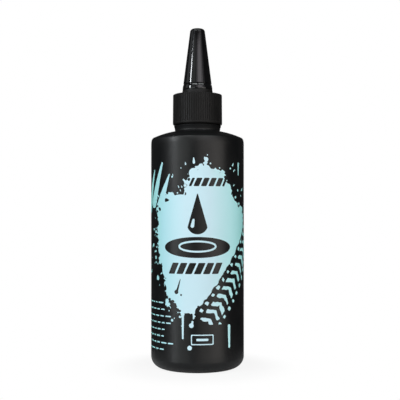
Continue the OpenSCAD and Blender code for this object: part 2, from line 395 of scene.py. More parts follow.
@dataclass
class Graph:
    """The nodes of a material or of the world, with short calls for what they share."""

    owner: bpy.types.Material | bpy.types.World
    shader: bpy.types.ShaderNode = field(init=False)
    place: Socket = field(init=False)

    def __post_init__(self) -> None:
        """Finds the shader that the nodes start with, and the place on the object or in the sky."""
        self.owner.use_nodes = True
        sky = isinstance(self.owner, bpy.types.World)
        self.shader = self.owner.node_tree.nodes["Background" if sky else "Principled BSDF"]
        self.place = self.node("ShaderNodeTexCoord").outputs["Generated" if sky else "Object"]

    def node(self, kind: str, **settings: object) -> bpy.types.ShaderNode:
        """Adds a node.

        Args:
            kind: Blender's name of the node's type.
            settings: Values of its properties.

        Returns:
            The node.
        """
        made = self.owner.node_tree.nodes.new(kind)
        for name, value in settings.items():
            setattr(made, name, value)
        return made

    def link(self, source: Socket, target: Socket) -> None:
        """Joins an output to an input."""
        self.owner.node_tree.links.new(source, target)

    def combine(self, operation: str, one: Socket, other: Socket | float) -> Socket:
        """A number worked out from two.

        Args:
            operation: Blender's name of the operation.
            one: The first number.
            other: The second number, an output or a plain value.

        Returns:
            The result.
        """
        made = self.node("ShaderNodeMath", operation=operation)
        self.link(one, made.inputs[0])
        if isinstance(other, Socket):
            self.link(other, made.inputs[1])
        else:
            made.inputs[1].default_value = other
        return made.outputs["Value"]

    def axes(self) -> tuple[Socket, ...]:
        """The X, Y and Z of the place.

        Returns:
            One output for each.
        """
        split = self.node("ShaderNodeSeparateXYZ")
        self.link(self.place, split.inputs["Vector"])
        return tuple(split.outputs)

    def noise(self, grain: float, detail: float = 2, stretch: Colour = (1, 1, 1)) -> Socket:
        """A cloudy pattern.

        Args:
            grain: Size of its patches, in millimetres.
            detail: Octaves of finer patches.
            stretch: How much finer the patches are along each axis.

        Returns:
            The pattern, about 0.5 on average.
        """
        mapping = self.node("ShaderNodeMapping")
        mapping.inputs["Scale"].default_value = stretch
        self.link(self.place, mapping.inputs["Vector"])
        noise = self.node("ShaderNodeTexNoise")
        noise.inputs["Scale"].default_value = 1 / (grain * MM)
        noise.inputs["Detail"].default_value = detail
        self.link(mapping.outputs["Vector"], noise.inputs["Vector"])
        return noise.outputs["Fac"]

    def between(self, value: Socket, to: Point, source: Point = (0.3, 0.7),
                step: str = "LINEAR") -> Socket:
        """Spreads a value over a new range.

        Args:
            value: The value, cut off at the ends of its range.
            to: The ends of the new range.
            source: The ends of its own range.
            step: Blender's name of the way between the ends.

        Returns:
            The value in its new range.
        """
        spread = self.node("ShaderNodeMapRange", interpolation_type=step)
        for name, number in zip(("From Min", "From Max", "To Min", "To Max"), (*source, *to)):
            spread.inputs[name].default_value = number
        self.link(value, spread.inputs["Value"])
        return spread.outputs["Result"]

    def blend(self, share: Socket, stops: Sequence[tuple[float, Colour]]) -> None:
        """Colours the shader along a ramp.

        Args:
            share: Where on the ramp.
            stops: Place and colour of each stop.
        """
        ramp = self.node("ShaderNodeValToRGB")
        elements = ramp.color_ramp.elements
        for element, (place, colour) in zip(elements, (stops[0], stops[-1])):
            element.position, element.color = place, (*colour, 1)
        for place, colour in stops[1:-1]:
            elements.new(place).color = (*colour, 1)
        self.link(share, ramp.inputs["Fac"])
        self.link(ramp.outputs["Color"], self.shader.inputs["Base Color"])

    def cloud(self, grain: float, dark: Colour, pale: Colour, roughness: Point) -> Socket:
        """Colours the shader in soft clouds.

        Args:
            grain: Size of the clouds, in millimetres.
            dark: Colour between the clouds.
            pale: Colour of the clouds.
            roughness: Roughness between and on the clouds.

        Returns:
            The roughness.
        """
        clouds = self.noise(grain, 3)
        self.blend(clouds, [(0.35, dark), (0.65, pale)])
        return self.between(clouds, roughness)

    def relief(self, *layers: tuple[Socket, float]) -> None:
        """Bumps in the surface.

        Args:
            layers: Pattern of each layer, and its depth in millimetres.
        """
        below = None
        for pattern, depth in layers:
            bump = self.node("ShaderNodeBump")
            bump.inputs["Distance"].default_value = depth * MM
            self.link(pattern, bump.inputs["Height"])
            if below:
                self.link(below, bump.inputs["Normal"])
            below = bump.outputs["Normal"]
        self.link(below, self.shader.inputs["Normal"])

    def set(self, **values: object) -> None:
        """Feeds the shader's sockets, such as roughness=0.3.

        Args:
            values: A plain value or another node's output for each socket.
        """
        names = {s.name.lower().replace(" ", "_"): s for s in self.shader.inputs}
        for name, value in values.items():
            if isinstance(value, Socket):
                self.link(value, names[name])
            else:
                names[name].default_value = value


@dataclass(frozen=True)
class BlownPlastic:
    """Satin black of the blown bottle: fine mould grain and faint lines down the wall.

    The neck above its waist, where neck_zone starts, is duller than the body.
    """

    dark: Colour = (0.0039, 0.0042, 0.0048)
    pale: Colour = (0.0064, 0.0066, 0.0069)
    gloss: float = 0.31
    neck_gloss: float = 0.15
    roughness: Point = (0.32, 0.38)
    neck_share: float = 1.75
    neck_zone: Point = (106.5, 107.1)
    cloud: float = 9
    grain: float = 0.16
    grain_depth: float = 0.004
    line_grain: float = 1.3
    line_stretch: float = 0.03
    line_depth: float = 0.012

    def material(self) -> bpy.types.Material:
        """Builds the finish.

        Returns:
            The material.
        """
        g = Graph(bpy.data.materials.new(Slot.BOTTLE.value))
        rough = g.cloud(self.cloud, self.dark, self.pale, self.roughness)
        height = g.axes()[2]
        zone = (self.neck_zone[0] * MM, self.neck_zone[1] * MM)
        duller = g.between(height, (1, self.neck_share), zone)
        shine = g.between(height, (self.gloss, self.neck_gloss), zone)
        g.set(roughness=g.combine("MULTIPLY", rough, duller), specular_ior_level=shine)
        lines = g.noise(self.line_grain, 2, (1, 1, self.line_stretch))
        g.relief((lines, self.line_depth), (g.noise(self.grain, 1), self.grain_depth))
        return g.owner


@dataclass(frozen=True)
class MattePlastic:
    """Matte black of the moulded closure, with a spark-eroded grain."""

    dark: Colour = (0.0078, 0.0075, 0.0075)
    pale: Colour = (0.0108, 0.0104, 0.0104)
    gloss: float = 0.18
    roughness: Point = (0.48, 0.58)
    cloud: float = 4
    grain: float = 0.11
    grain_depth: float = 0.008

    def material(self) -> bpy.types.Material:
        """Builds the finish.

        Returns:
            The material.
        """
        g = Graph(bpy.data.materials.new(Slot.CLOSURE.value))
        rough = g.cloud(self.cloud, self.dark, self.pale, self.roughness)
        g.set(roughness=rough, specular_ior_level=self.gloss)
        g.relief((g.noise(self.grain, 2), self.grain_depth))
        return g.owner


@dataclass(frozen=True)
class GlossPlastic:
    """Polished black of the overcap, with the faint waves that a moulded gloss has."""

    dark: Colour = (0.0025, 0.0025, 0.003)
    pale: Colour = (0.0045, 0.0044, 0.005)
    gloss: float = 0.5
    roughness: Point = (0.07, 0.1)
    cloud: float = 5
    wave: float = 4
    wave_stretch: float = 0.35
    wave_depth: float = 0.004

    def material(self) -> bpy.types.Material:
        """Builds the finish.

        Returns:
            The material.
        """
        g = Graph(bpy.data.materials.new(Slot.OVERCAP.value))
        rough = g.cloud(self.cloud, self.dark, self.pale, self.roughness)
        g.set(roughness=rough, specular_ior_level=self.gloss)
        g.relief((g.noise(self.wave, 1, (1, 1, self.wave_stretch)), self.wave_depth))
        return g.owner


@dataclass(frozen=True)
class Foam:
    """Pale closed-cell foam of the washer, with painted shade in the pit of each cell."""

    pale: Colour = (0.78, 0.77, 0.73)
    painted_pit_shade: Colour = (0.62, 0.61, 0.57)
    gloss: float = 0.3
    roughness: float = 0.75
    cell: float = 0.22
    cell_depth: float = 0.05

    def material(self) -> bpy.types.Material:
        """Builds the finish.

        Returns:
            The material.
        """
        g = Graph(bpy.data.materials.new(Slot.WASHER.value))
        cells = g.node("ShaderNodeTexVoronoi")
        cells.inputs["Scale"].default_value = 1 / (self.cell * MM)
        g.link(g.place, cells.inputs["Vector"])
        walls = cells.outputs["Distance"]
        # Painted shade: each cell is coloured darker towards its middle, where the bump below makes its
        # pit.
        g.blend(walls, [(0.1, self.painted_pit_shade), (0.5, self.pale)])
        g.relief((walls, self.cell_depth))
        g.set(roughness=self.roughness, specular_ior_level=self.gloss)
        return g.owner


@dataclass(frozen=True)
class Ink:
    """Screen-printed ink: pale cyan at the front that turns to mint round the sides, with painted light
    that makes the right side lighter.

    Each stop is a share of the half turn from the left side to the right, and its colour. The stops round
    the right side are lifted brighter, painted light that makes up for the light falling off there.
    """

    stops: tuple[tuple[float, Colour], ...] = (
        (0.09, (0.37, 0.84, 0.8)),
        (0.25, (0.455, 0.79, 0.86)),
        (0.42, (0.56, 0.765, 0.85)),
        (0.58, (0.56, 0.765, 0.85)),
        # Painted light: the last two stops are lifted brighter to make up for the light falling off round
        # the right side.
        (0.74, (0.54, 0.93, 0.97)),
        (0.88, (0.45, 0.98, 0.98)),
    )
    gloss: float = 0.25
    roughness: Point = (0.45, 0.52)
    cloud: float = 2
    mesh_grain: float = 0.12
    mesh_depth: float = 0.004

    def material(self) -> bpy.types.Material:
        """Builds the finish, whose colour follows the angle from the front of the bottle.

        Returns:
            The material.
        """
        g = Graph(bpy.data.materials.new(Slot.INK.value))
        x, y, _ = g.axes()
        angle = g.combine("ARCTAN2", x, g.combine("MULTIPLY", y, -1))
        quarter = math.pi / 2
        # The ramp carries the print's own hue and also painted light, lighter round the right side.
        g.blend(g.between(angle, (0, 1), (-quarter, quarter)), self.stops)
        rough = g.between(g.noise(self.cloud, 3), self.roughness)
        g.set(roughness=rough, specular_ior_level=self.gloss)
        g.relief((g.noise(self.mesh_grain, 1), self.mesh_depth))
        return g.owner


def dress(mesh: bpy.types.Mesh, finish: bpy.types.Material, body: Body,
          node: Node | None = None, crease: float = 38) -> bpy.types.Object:
    """Makes a piece of a mesh: smooth, with its finish, and riding on its body.

    Args:
        mesh: The piece's mesh.
        finish: Its material.
        body: The CAD body that it moves with.
        node: The CAD node that it stands for, if any.
        crease: Least angle of an edge that stays sharp, in degrees.

    Returns:
        The piece.
    """
    mesh.materials.append(finish)
    mesh.shade_smooth()
    mesh.set_sharp_from_angle(angle=math.radians(crease))
    piece = bpy.data.objects.new(mesh.name, mesh)
    bpy.context.scene.collection.objects.link(piece)
    weighted = piece.modifiers.new("even_normals", "WEIGHTED_NORMAL")
    weighted.keep_sharp = True
    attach(piece, body.value)
    if node:
        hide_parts(node.value)
    return piece


@dataclass(frozen=True)
class Thread:
    """Sizes that the neck's thread and the closure's share."""

    pitch: float = 3.175
    neck_turns: float = 1.5
    finish_r: float = 8.8
    depth: float = 1.0
    lead_in: float = 1.6
    foot_w: float = 0.95
    crest_w: float = 0.45
    skirt_foot_w: float = 0.75
    skirt_crest_w: float = 0.35
    play: float = 0.1

    def neck_z(self, land_z: float) -> float:
        """Height of the neck's helix at angle 0."""
        return land_z - self.lead_in - self.pitch * self.neck_turns

    def neck_ridge(self, land_z: float) -> Helix:
        """The ridge on the neck.

        Args:
            land_z: Height of the neck's land.

        Returns:
            The ridge.
        """
        return Helix(
            foot_r=self.finish_r,
            crest_r=self.finish_r + self.depth,
            foot_w=self.foot_w,
            crest_w=self.crest_w,
            start_z=self.neck_z(land_z),
            pitch=self.pitch,
            start=0,
            end=FULL_TURN * self.neck_turns,
        )

    def skirt_ridge(self, land_z: float, skirt_r: float, turns: float, lead_in: float) -> Helix:
        """The ridge in the closure, which bears on the underside of the neck's.

        Args:
            land_z: Height of the neck's land.
            skirt_r: Radius of the closure's inner wall.
            turns: Length of the ridge.
            lead_in: How far it ends before the neck's ridge, in degrees.

        Returns:
            The ridge.
        """
        crest_r = skirt_r - self.depth + self.play
        outer_r = self.finish_r + self.depth
        neck_slope = (self.foot_w - self.crest_w) / self.depth
        skirt_slope = (self.skirt_foot_w - self.skirt_crest_w) / (skirt_r - crest_r)
        steeper = max(neck_slope, skirt_slope)
        contact = self.crest_w + self.skirt_crest_w + steeper * (outer_r - crest_r)
        end = FULL_TURN * self.neck_turns - lead_in
        return Helix(
            foot_r=skirt_r,
            crest_r=crest_r,
            foot_w=self.skirt_foot_w,
            crest_w=self.skirt_crest_w,
            start_z=self.neck_z(land_z) - contact - self.play,
            pitch=self.pitch,
            start=end - FULL_TURN * turns,
            end=end,
        )


@dataclass
class Bottle:
    """The blown bottle: body, shoulder, threaded neck and pinched base.

    Each of the seam's waves is a share of its width, its turns along the seam and its start.
    """

    cad: CadSizes
    thread: Thread
    ink_stand: float = 0.03
    wall: float = 0.9
    base_wall: float = 1.1
    ring_w: float = 1.3
    inner_ring_w: float = 0.4
    inner_heel_turn: float = 75
    push_up_h: float = 2.2
    push_up_edge: float = 0.8
    corner_r: float = 1.4
    least_corner_r: float = 0.3
    slope: float = 25
    dome_r: float = 38
    ease_r: float = 14
    ease_turn: float = 10
    root_r: float = 0.5
    bore_root_r: float = 2.2
    bore_foot: float = 8
    neck_wall: float = 1.2
    flare_r: float = 4.6
    flare_turn: float = 22
    finish_h: float = 11.7
    ring_h: float = 0.4
    ring_overhang: float = 0.8
    ring_step: float = 0.4
    ring_edge: float = 0.12
    edge: float = 0.2
    parting_h: float = 0.07
    parting_w: float = 0.13
    parting_turn: float = 1.5
    parting_columns: tuple[float, ...] = (0, 0.13, 0.26, 0.4, 0.6, 0.9, 1.3)
    seam_l: float = 22
    seam_w: float = 0.5
    seam_h: float = 0.25
    seam_end_w: float = 0.55
    seam_fade: float = 1.2
    seam_sink: float = 0.3
    seam_waves: tuple[Corner, ...] = ((0.12, 2.1, 0), (0.08, 5.3, 1))
    seam_sections: int = 61
    columns: int = 192

    @property
    def wall_r(self) -> float:
        """Radius of the bare wall. The print stands out of it to the CAD's radius."""
        return self.cad.body_r - self.ink_stand

    @property
    def ring_in_r(self) -> float:
        """Inner radius of the ring that the bottle stands on."""
        return self.wall_r - self.cad.heel_top_z - self.ring_w

    @property
    def ring_r(self) -> float:
        """Radius of the ring round the neck."""
        return self.thread.finish_r + self.thread.depth + self.ring_overhang

    @property
    def ring_z(self) -> float:
        """Height of the underside of the ring round the neck."""
        return self.cad.land_z - self.finish_h - self.ring_h

    @property
    def waist_r(self) -> float:
        """Radius of the neck below its ring."""
        return self.ring_r - self.ring_step

    @property
    def bore_r(self) -> float:
        """Radius of the neck's bore."""
        return self.thread.finish_r - self.neck_wall

    @property
    def push_up(self) -> tuple[Point, float]:
        """Centre and radius of the push-up's dome."""
        radius = (self.ring_in_r ** 2 + self.push_up_h ** 2) / (2 * self.push_up_h)
        return (0, self.push_up_h - radius), radius

    def angles(self) -> Array:
        """Angles round the body, closer together at the two parting lines.

        Returns:
            The angles, in degrees.
        """
        near = np.array(self.parting_columns)
        close = np.concatenate((near, -near[1:]))
        spread = around(self.columns)
        spread = spread[np.abs((spread + 90) % 180 - 90) > near[-1]]
        return np.unique(np.concatenate((spread, close, close + 180)) % FULL_TURN)

    def base(self) -> list[Corner]:
        """Outline of the base.

        Returns:
            The corners, from the axis to the wall.
        """
        centre, radius = self.push_up
        reach = math.degrees(math.asin(self.ring_in_r / radius))
        heel = self.cad.heel_top_z
        return [
            *plain(arc(centre, radius, 90, 90 - reach, 2)[:-1]),
            (self.ring_in_r, 0, self.push_up_edge),
            *plain(arc((self.wall_r - heel, heel), heel, -90, 0, 5)),
        ]

    def shoulder(self, offset: float, neck_r: float, root_r: float) -> list[Point]:
        """Outline of the shoulder: a corner that eases into the wall, the dome and a fillet to the neck.

        Args:
            offset: Depth under the outside.
            neck_r: Radius of the neck that it ends on.
            root_r: Radius of the fillet.

        Returns:
            The points, from the wall to the neck.
        """
        slope, turn = math.radians(self.slope), math.radians(self.ease_turn)
        arm = self.dome_r - self.corner_r
        middle_x = self.wall_r - self.corner_r - arm * math.sin(slope)
        middle_z = self.cad.shoulder_z - arm * math.cos(slope)
        dome = self.dome_r - offset
        corner = max(self.least_corner_r, self.corner_r - offset)
        corner_x = self.wall_r - offset - corner
        corner_z = middle_z + math.sqrt((dome - corner) ** 2 - (corner_x - middle_x) ** 2)
        root_x = neck_r + root_r
        root_z = middle_z + math.sqrt((dome + root_r) ** 2 - (root_x - middle_x) ** 2)
        corner_end = math.degrees(math.atan2(corner_z - middle_z, corner_x - middle_x))
        dome_end = math.degrees(math.atan2(root_z - middle_z, root_x - middle_x))
        ease_arm = self.ease_r - corner
        drawn_in = ease_arm * (1 - math.cos(turn))
        corner_x -= drawn_in
        corner_z += drawn_in * math.tan(slope)
        ease_c = (corner_x - ease_arm * math.cos(turn), corner_z - ease_arm * math.sin(turn))
        return [
            *arc(ease_c, self.ease_r, 0, self.ease_turn, 1)[:-1],
            *arc((corner_x, corner_z), corner, self.ease_turn, corner_end),
            *arc((middle_x, middle_z), dome, corner_end, dome_end, 1.5)[1:-1],
            *arc((root_x, root_z), root_r, dome_end + 180, 180, 7),
        ]

    def neck(self) -> list[Corner]:
        """Outline of the neck.

        Returns:
            The corners, from the waist over the ring and the land into the bore.
        """
        land = self.cad.land_z
        ring_top = self.ring_z + self.ring_h
        flare_z = self.ring_z - self.flare_r * math.sin(math.radians(self.flare_turn))
        flare_c = (self.waist_r + self.flare_r, flare_z)
        return [
            *plain(arc(flare_c, self.flare_r, 180, 180 - self.flare_turn, 4)[1:]),
            (self.ring_r, self.ring_z + self.ring_edge, self.ring_edge),
            (self.ring_r, ring_top, self.ring_edge),
            (self.thread.finish_r, ring_top, self.edge),
            (self.thread.finish_r, land, self.edge),
            (self.bore_r, land, self.edge),
            (self.bore_r, self.cad.shoulder_z + self.bore_foot, 0),
        ]

    def inside(self) -> list[Point]:
        """Outline of the hollow.

        Returns:
            The points, from the neck down to the axis.
        """
        centre, radius = self.push_up
        inner = radius + self.base_wall
        reach = math.degrees(math.asin((self.ring_in_r - self.inner_ring_w) / inner))
        heel = self.cad.heel_top_z
        return [
            *reversed(self.shoulder(self.wall, self.bore_r, self.bore_root_r)),
            *arc((self.wall_r - heel, heel), heel - self.wall, 0, -self.inner_heel_turn),
            *arc(centre, inner, 90 - reach, 90, 3),
        ]

    def parting(self, r: float, z: float) -> float:
        """How far the mould's parting line stands out of the shell.

        Args:
            r: Radius of the place on the shell.
            z: Height of the place.

        Returns:
            The line's height, 0 where the shell has none.
        """
        on_neck = z > self.cad.shoulder_z and r > self.thread.finish_r
        if z >= self.ring_z or not (on_neck or r > self.ring_in_r):
            return 0
        return min(self.parting_h, self.cad.body_r - r)

    def rings(self) -> list[Array]:
        """Rings of the whole shell, with the mould's parting line at both sides.

        Returns:
            The points of each ring, from the base round to the inside of the base.
        """
        shoulder = plain(self.shoulder(0, self.waist_r, self.root_r))
        outer = rounded([*self.base(), *shoulder, *self.neck()])
        angles = self.angles()
        across = np.radians((angles + 90) % 180 - 90)
        made = []
        for r, z in outer:
            if r < TINY:
                made.append(ring(0.0, z, angles))
                continue
            swell = self.parting(r, z) * np.exp(-((across * r / self.parting_w) ** 2))
            up = ease((z - self.cad.shoulder_z) / self.parting_turn)
            made.append(ring(r + swell * (1 - up), z + swell * up, angles))
        return made + [ring(float(r), float(z), angles) for r, z in self.inside()]

    def seam(self) -> list[Array]:
        """The pinch-off seam along the push-up.

        Returns:
            The points of each of its sections.
        """
        (_, middle_z), radius = self.push_up
        turn = np.radians(np.linspace(0, 180, 9))
        made = []
        for x in np.linspace(-self.seam_l / 2, self.seam_l / 2, self.seam_sections):
            run_out = ease((self.seam_l / 2 - abs(x)) / self.seam_fade)
            uneven = 1 + sum(share * math.sin(pace * x + start) for share, pace, start in self.seam_waves)
            half = self.seam_w / 2 * (self.seam_end_w + (1 - self.seam_end_w) * run_out) * uneven
            stand = self.seam_h * run_out * uneven
            floor = middle_z + math.sqrt(radius ** 2 - x ** 2)
            y = np.concatenate((half * np.cos(turn), [-half, half]))
            z = np.concatenate((floor - stand * np.sin(turn), [floor + self.seam_sink] * 2))
            made.append(np.column_stack((np.full(len(y), x), y, z)))
        return made

    def build(self) -> bpy.types.Object:
        """Builds the bottle.

        Returns:
            The piece.
        """
        skin = Skin()
        skin.cover(self.rings())
        skin.cover(self.thread.neck_ridge(self.cad.land_z).rings(), Ends.CAPS)
        skin.cover(self.seam(), Ends.CAPS)
        mesh = skin.mesh("blown_bottle")
        return dress(mesh, BlownPlastic().material(), Body.BOTTLE, Node.BOTTLE)


@dataclass
class Closure:
    """The ribbed screw closure and its dripper nozzle, one moulding.

    rib_bend holds how far the mesh's columns lie from each bend of a rib, as shares of a rib.
    """

    cad: CadSizes
    thread: Thread
    skirt_wall: float = 1.15
    draft: float = 0.09
    ribs: int = 72
    rib_depth: float = 0.32
    rib_crest: float = 0.52
    rib_valley: float = 0.34
    rib_bend: Point = (0.02, 0.07)
    rib_soft: float = 0.03
    rib_middle: float = 0.12
    rim_h: float = 1.0
    rim_edge: float = 0.8
    run_out: float = 0.4
    top_edge: float = 0.3
    top_inset: float = 0.25
    top_t: float = 1.4
    cone_d: float = 14.1
    cone_top_d: float = 6.4
    collar_foot: float = 0.25
    cap_wall: float = 1.15
    socket_fit: float = 0.04
    spigot_h: float = 5.0
    spigot_taper: float = 0.12
    nozzle_root_r: float = 4.3
    nozzle_tip_r: float = 1.6
    orifice_r: float = 0.75
    orifice_l: float = 4.0
    passage_r: float = 3.2
    lead_in: float = 0.35
    thread_turns: float = 1.25
    thread_lead_in: float = 24
    columns: int = 144

    @property
    def skirt_r(self) -> float:
        """Radius of the skirt's inner wall."""
        return self.cad.rim_r - self.skirt_wall

    @property
    def top_z(self) -> float:
        """Height of the closure's top."""
        return self.cad.seat_z + self.top_t

    @property
    def flank(self) -> Point:
        """Where a rib's flank starts and ends, as shares of the ribs' pitch."""
        return self.rib_crest / 2, 0.5 - self.rib_valley / 2

    def cone_r(self, z: float) -> float:
        """Radius of the cone that the collar and the overcap share, at a height."""
        fall = (self.cone_d - self.cone_top_d) / 2 / (self.cad.apex_z - self.top_z)
        return self.cone_d / 2 - (z - self.top_z) * fall

    def rib_shares(self) -> Array:
        """Places of the mesh's columns across one rib.

        Returns:
            The places, as shares of the ribs' pitch.
        """
        crest, valley = self.flank
        bend = np.array(self.rib_bend)
        side = np.concatenate((crest - bend, [(crest + valley) / 2], valley + bend))
        middle = [0, self.rib_middle, 1 - self.rib_middle, 0.5]
        return np.sort(np.concatenate((side, 1 - side, middle)))

    def rib_angles(self) -> Array:
        """Angles of the columns round the skirt."""
        return ((np.arange(self.ribs)[:, None] + self.rib_shares()) * FULL_TURN / self.ribs).ravel()

    def valley(self) -> Array:
        """How deep each column lies in its valley.

        Returns:
            The depths, from 0 on a crest to 1.
        """
        share = np.abs((self.rib_shares() + 0.5) % 1 - 0.5)
        crest, valley = self.flank
        fall = (share - crest + self.rib_soft) / (valley - crest + 2 * self.rib_soft)
        return np.tile(ease(fall), self.ribs)

    def skirt(self) -> list[Array]:
        """The skirt's outside.

        Returns:
            The points of each ring, from the foot of the rim to the top's edge.
        """
        angles, valley = self.rib_angles(), self.valley()
        foot, rim = self.cad.skirt_z, self.cad.rim_r
        rib_foot = foot + self.rim_h
        corner = (rim - self.rim_edge, foot + self.rim_edge)
        made = [ring(r, z, angles) for r, z in arc(corner, self.rim_edge, -90, 0, 10)]
        made.append(ring(rim, rib_foot, angles))
        for share in np.linspace(0.25, 1, 4):
            depth = self.rib_depth * ease(share)
            made.append(ring(rim - depth * valley, rib_foot + self.run_out * share, angles))
        for turn in np.radians(np.linspace(0, 90, 5)):
            inset = self.draft + self.top_edge * (1 - math.cos(turn))
            z = self.top_z - self.top_edge * (1 - math.sin(turn))
            made.append(ring(rim - inset - self.rib_depth * valley, z, angles))
        return made

    def spout(self) -> list[Point]:
        """Outline of the rest of the closure.

        Returns:
            The points, from the top over the collar, the spigot and the nozzle to the inside.
        """
        cad = self.cad
        spigot_r = self.cone_r(cad.collar_z) - self.cap_wall - self.socket_fit
        spigot_z = cad.collar_z + self.spigot_h
        floor_r = cad.rim_r - self.draft - self.top_edge - self.rib_depth - self.top_inset
        return rounded([
            (floor_r, self.top_z, 0),
            (self.cone_r(self.top_z), self.top_z, self.collar_foot),
            (self.cone_r(cad.collar_z), cad.collar_z, 0.12),
            (spigot_r, cad.collar_z, 0.1),
            (spigot_r - self.spigot_taper, spigot_z, 0.35),
            (self.nozzle_root_r, spigot_z, 0.3),
            (self.nozzle_tip_r, cad.tip_z, 0.3),
            (self.orifice_r, cad.tip_z, 0.15),
            (self.orifice_r, cad.tip_z - self.orifice_l, 1),
            (self.passage_r, cad.seat_z, 0.3),
            (self.skirt_r, cad.seat_z, 0.2),
            (self.skirt_r, cad.skirt_z + self.lead_in, 0.1),
            (self.skirt_r + self.lead_in, cad.skirt_z, 0),
        ])

    def build(self) -> bpy.types.Object:
        """Builds the closure.

        Returns:
            The piece.
        """
        coarse = around(self.columns)
        spout = [ring(float(r), float(z), coarse) for r, z in self.spout()]
        ridge = self.thread.skirt_ridge(
            self.cad.land_z, self.skirt_r, self.thread_turns, self.thread_lead_in
        )
        skin = Skin()
        skin.cover([*self.skirt(), *spout], Ends.LOOP)
        skin.cover(ridge.rings(), Ends.CAPS)
        mesh = skin.mesh("ribbed_closure_with_nozzle")
        return dress(mesh, MattePlastic().material(), Body.CLOSURE, Node.CLOSURE)


@dataclass
class Washer:
    """The foam washer that seals the closure on the neck's land."""

    cad: CadSizes
    hole_r: float = 4.5
    edge: float = 0.18
    columns: int = 128

    def build(self) -> bpy.types.Object:
        """Builds the washer.

        Returns:
            The piece.
        """
        low, high, outer = self.cad.land_z, self.cad.seat_z, self.cad.washer_r
        middle = (self.hole_r + outer) / 2
        outline = rounded([
            (middle, low, 0),
            (outer, low, self.edge),
            (outer, high, self.edge),
            (self.hole_r, high, self.edge),
            (self.hole_r, low, self.edge),
            (middle, low, 0),
        ])[:-1]
        skin = Skin()
        skin.lathe(outline, around(self.columns), Ends.LOOP)
        return dress(skin.mesh("foam_washer"), Foam().material(), Body.WASHER, Node.WASHER)


@dataclass
class Overcap:
    """The glossy conical overcap, with the pin that plugs the nozzle."""

    cad: CadSizes
    closure: Closure
    rim_h: float = 2.25
    rim_bulge: float = 0.08
    groove_w: float = 0.65
    groove_depth: float = 0.3
    groove_floor: float = 0.1
    groove_edge: float = 0.06
    top_edge: float = 1.4
    foot_edge: float = 0.15
    end_gap: float = 1.1
    socket_edge: float = 0.3
    hollow_step: float = 1
    pin_entry: float = 1.2
    pin_fit: float = 0.06
    gate_r: float = 0.6
    gate_depth: float = 0.12
    gate_edge: float = 0.1
    columns: int = 192

    def rim(self) -> list[Corner]:
        """The bulged rim below the groove.

        Returns:
            The corners, from its foot up.
        """
        low, high = self.cad.collar_z + self.foot_edge, self.cad.collar_z + self.rim_h
        shares = np.linspace(0, 1, 9)
        return [
            (self.closure.cone_r(z) + self.rim_bulge * 4 * t * (1 - t), z, self.groove_edge * (t == 1))
            for t, z in zip(shares, low + (high - low) * shares)
        ]

    def outside(self) -> list[Corner]:
        """Outline of the outside.

        Returns:
            The corners, from the foot up to the axis.
        """
        cone = self.closure.cone_r
        foot, apex = self.cad.collar_z, self.cad.apex_z
        low = foot + self.rim_h
        high = low + self.groove_w
        floor_r = cone(low) - self.groove_depth
        return [
            (cone(foot) - self.foot_edge, foot, 0.05),
            *self.rim(),
            (floor_r, (low + high - self.groove_floor) / 2, self.groove_edge),
            (floor_r, (low + high + self.groove_floor) / 2, self.groove_edge),
            (cone(high), high, self.groove_edge),
            (cone(apex), apex, self.top_edge),
            (self.gate_r + self.gate_edge, apex, self.gate_edge),
            (self.gate_r - self.gate_edge / 2, apex - self.gate_depth, self.gate_edge),
            (0, apex - self.gate_depth, 0),
        ]

    def inside(self) -> list[Corner]:
        """Outline of the inside.

        Returns:
            The corners, from the axis at the pin down to the foot.
        """
        shell = self.closure
        foot = self.cad.collar_z
        end_z = self.cad.tip_z + self.end_gap
        pin_r = shell.orifice_r - self.pin_fit
        pin_z = self.cad.tip_z - self.pin_entry
        socket_r = shell.cone_r(foot) - shell.cap_wall
        socket_z = foot + shell.spigot_h
        hollow_z = socket_z + self.hollow_step
        return [
            (0, pin_z, 0),
            (pin_r, pin_z, 0.3),
            (pin_r, end_z, 0.1),
            (shell.cone_r(end_z) - shell.cap_wall, end_z, 0.3),
            (shell.cone_r(hollow_z) - shell.cap_wall, hollow_z, 0.2),
            (socket_r - shell.spigot_taper, socket_z, 0.2),
            (socket_r, foot + self.socket_edge, 0.1),
            (socket_r + self.socket_edge, foot, 0.05),
        ]

    def build(self) -> bpy.types.Object:
        """Builds the overcap.

        Returns:
            The piece.
        """
        corners = [*reversed(self.outside()), *reversed(self.inside())]
        skin = Skin()
        skin.lathe(rounded(corners, 9), around(self.columns))
        mesh = skin.mesh("gloss_overcap")
        return dress(mesh, GlossPlastic().material(), Body.OVERCAP, Node.OVERCAP)


def track(start: Point, end: Point, u: Array, z: Array) -> tuple[Array, Array, float]:
    """Places measured along a line.

    Args:
        start: Start of the line.
        end: End of the line.
        u: Length round the wall of each place.
        z: Height of each place.

    Returns:
        How far along the line and how far off it each place lies, and the line's length.
    """
    du, dz = end[0] - start[0], end[1] - start[1]
    length = math.hypot(du, dz)
    along = ((u - start[0]) * du + (z - start[1]) * dz) / length
    return along, np.abs((u - start[0]) * dz - (z - start[1]) * du) / length, length


@dataclass(frozen=True)
class Stroke:
    """A straight stroke with round ends, wide at its start and narrow at its end."""

    start: Point
    end: Point
    start_r: float
    end_r: float

    def __call__(self, u: Array, z: Array) -> Array:
        """Measures places against the stroke.

        Args:
            u: Length round the wall of each place.
            z: Height of each place.

        Returns:
            The distance to the stroke, negative inside it.
        """
        along, off, length = track(self.start, self.end, u, z)
        lean = (self.start_r - self.end_r) / length
        share = np.clip((along + off * lean / math.sqrt(max(TINY, 1 - lean ** 2))) / length, 0, 1)
        r = self.start_r + (self.end_r - self.start_r) * share
        return np.hypot(along - share * length, off) - r


@dataclass(frozen=True)
class Disc:
    """A round spot."""

    centre: Point
    radius: float

    def __call__(self, u: Array, z: Array) -> Array:
        """Distance to the spot, negative inside it."""
        return np.hypot(u - self.centre[0], z - self.centre[1]) - self.radius


